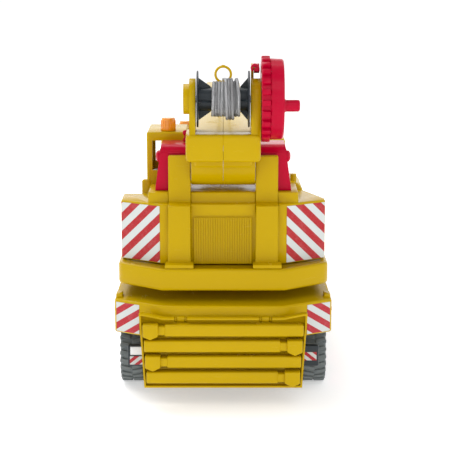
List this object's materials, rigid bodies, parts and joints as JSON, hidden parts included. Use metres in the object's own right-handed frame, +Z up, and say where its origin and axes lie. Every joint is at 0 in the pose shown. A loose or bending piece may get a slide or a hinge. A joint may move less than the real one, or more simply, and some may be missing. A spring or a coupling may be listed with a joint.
{
  "type": "toy crane truck",
  "caption": "Toy crane truck with a slewing, luffing and telescoping boom, hand-cranked winch and hook, opening doors and outrigger legs stowed in a hinged rear rack.",
  "frame": {"origin": "middle of the truck's footprint, on the ground that the tyres stand on", "axes": "+Y towards the front of the truck, +Z up, +X to the truck's right"},
  "size_m": [0.185, 0.6, 0.2923],
  "materials": {
    "yellow": "moulded, gloss",
    "crimson": "moulded, gloss",
    "amber": "moulded, translucent look",
    "charcoal": "moulded, satin",
    "tyre": "moulded soft plastic, matt",
    "cord": "braided",
    "steel": "drawn wire and rod",
    "clear": "clear polished plastic"
  },
  "bodies": {
    "truck": {"chassis_frame": "charcoal", "chassis_deck": "yellow", "rear_bumper": "charcoal", "front_bumper": "charcoal", "fuel_tank": "charcoal", "slew_ring": "charcoal", "cab_shell": "yellow", "cab_interior": "charcoal", "cab_glazing": "clear", "cab_beacon_left": "amber", "cab_beacon_right": "amber"},
    "cab_door_left": {"cab_door_left": "yellow"},
    "cab_door_right": {"cab_door_right": "yellow"},
    "front_wheels": {"front_axle": "steel", "front_rim_left": "crimson", "front_rim_right": "crimson", "front_tyre_left": "tyre", "front_tyre_right": "tyre"},
    "middle_wheels": {"middle_axle": "steel", "middle_rim_left": "crimson", "middle_rim_right": "crimson", "middle_tyre_left": "tyre", "middle_tyre_right": "tyre"},
    "rear_wheels": {"rear_axle": "steel", "rear_rim_left": "crimson", "rear_rim_right": "crimson", "rear_tyre_left": "tyre", "rear_tyre_right": "tyre"},
    "stow_rack": {"stow_rack": "yellow"},
    "outrigger_leg_1": {"outrigger_leg_1": "yellow"},
    "outrigger_leg_2": {"outrigger_leg_2": "yellow"},
    "outrigger_leg_3": {"outrigger_leg_3": "yellow"},
    "outrigger_leg_4": {"outrigger_leg_4": "yellow"},
    "turntable": {"turntable_deck": "yellow", "counterweight_housing": "yellow", "grille_panel": "yellow", "operator_cab": "yellow", "hydraulic_tank": "yellow", "pillar_left": "yellow", "pillar_right": "yellow", "pivot_cover_left": "crimson", "pivot_cover_right": "crimson", "boom_pivot_pin": "charcoal", "operator_beacon": "amber"},
    "release_lever": {"release_lever": "crimson"},
    "operator_door": {"operator_door": "yellow"},
    "boom": {"boom_shell_left": "yellow", "boom_shell_right": "yellow", "cord_run": "cord"},
    "pawl": {"ratchet_pawl": "crimson"},
    "winch": {"winch_drum": "charcoal", "cord_winding": "cord", "crank_wheel": "crimson", "winch_axle": "steel"},
    "boom_inner": {"boom_inner": "yellow", "guide_ring": "yellow", "sheave_pin": "steel"},
    "head_sheave": {"head_sheave": "charcoal"},
    "hook_line": {"cord_fall": "cord"},
    "hook": {"hook_block": "crimson"}
  },
  "joints": [
    {"name": "cab_door_left_hinge", "type": "hinge", "parent": "truck", "child": "cab_door_left", "pos_m": [-0.0699, 0.2317, 0.116], "axis": [0, 0, -1], "range_deg": [0, 65]},
    {"name": "cab_door_right_hinge", "type": "hinge", "parent": "truck", "child": "cab_door_right", "pos_m": [0.0699, 0.2317, 0.116], "axis": [0, 0, 1], "range_deg": [0, 65]},
    {"name": "front_wheel_spin", "type": "hinge", "parent": "truck", "child": "front_wheels", "pos_m": [0, 0.197, 0.031], "axis": [-1, 0, 0], "continuous": true},
    {"name": "middle_wheel_spin", "type": "hinge", "parent": "truck", "child": "middle_wheels", "pos_m": [0, -0.145, 0.031], "axis": [-1, 0, 0], "continuous": true},
    {"name": "rear_wheel_spin", "type": "hinge", "parent": "truck", "child": "rear_wheels", "pos_m": [0, -0.212, 0.031], "axis": [-1, 0, 0], "continuous": true},
    {"name": "rack_hinge", "type": "hinge", "parent": "truck", "child": "stow_rack", "pos_m": [0, -0.287, 0.0757], "axis": [-1, 0, 0], "range_deg": [0, 95]},
    {"name": "leg_1_draw", "type": "slide", "parent": "stow_rack", "child": "outrigger_leg_1", "axis": [0, -1, 0], "range_m": [0, 0.03]},
    {"name": "leg_2_draw", "type": "slide", "parent": "stow_rack", "child": "outrigger_leg_2", "axis": [0, -1, 0], "range_m": [0, 0.03]},
    {"name": "leg_3_draw", "type": "slide", "parent": "stow_rack", "child": "outrigger_leg_3", "axis": [0, -1, 0], "range_m": [0, 0.03]},
    {"name": "leg_4_draw", "type": "slide", "parent": "stow_rack", "child": "outrigger_leg_4", "axis": [0, -1, 0], "range_m": [0, 0.03]},
    {"name": "slew", "type": "hinge", "parent": "truck", "child": "turntable", "pos_m": [0, -0.15, 0.0965], "axis": [0, 0, 1], "continuous": true},
    {"name": "release_lever_tilt", "type": "hinge", "parent": "turntable", "child": "release_lever", "pos_m": [-0.0327, -0.218, 0.2171], "axis": [1, 0, 0], "range_deg": [-20, 20]},
    {"name": "operator_door_hinge", "type": "hinge", "parent": "turntable", "child": "operator_door", "pos_m": [-0.0674, -0.142, 0.167], "axis": [0, 0, -1], "range_deg": [0, 65]},
    {"name": "boom_luff", "type": "hinge", "parent": "turntable", "child": "boom", "pos_m": [0, -0.232, 0.205], "axis": [1, 0, 0], "range_deg": [0, 45]},
    {"name": "pawl_tilt", "type": "hinge", "parent": "boom", "child": "pawl", "pos_m": [0, -0.254, 0.2814], "axis": [1, 0, 0], "range_deg": [-25, 10]},
    {"name": "winch_turn", "type": "hinge", "parent": "boom", "child": "winch", "pos_m": [0, -0.264, 0.2569], "axis": [-1, 0, 0], "range_deg": [-177.3, 394.6]},
    {"name": "boom_extend", "type": "slide", "parent": "boom", "child": "boom_inner", "axis": [0, 1, 0], "range_m": [0, 0.12], "deforming": ["cord_run"]},
    {"name": "sheave_turn", "type": "hinge", "parent": "boom_inner", "child": "head_sheave", "pos_m": [0, 0.2845, 0.214], "axis": [-1, 0, 0], "range_deg": [-284.7, 632.4]},
    {"name": "hook_swing", "type": "hinge", "parent": "boom_inner", "child": "hook_line", "pos_m": [0, 0.2935, 0.214], "axis": [1, 0, 0], "range_deg": [-45.5, 0.5]},
    {"name": "hook_hoist", "type": "slide", "parent": "hook_line", "child": "hook", "axis": [0, 0, -1], "range_m": [-0.045, 0.1], "deforming": ["cord_fall"]}
  ],
  "couplings": [
    {"joint": "hook_hoist", "follows": "winch_turn", "m_per_rad": 0.0145},
    {"joint": "sheave_turn", "follows": "winch_turn", "ratio": 1.6},
    {"joint": "hook_swing", "follows": "boom_luff", "ratio": -1}
  ]
}
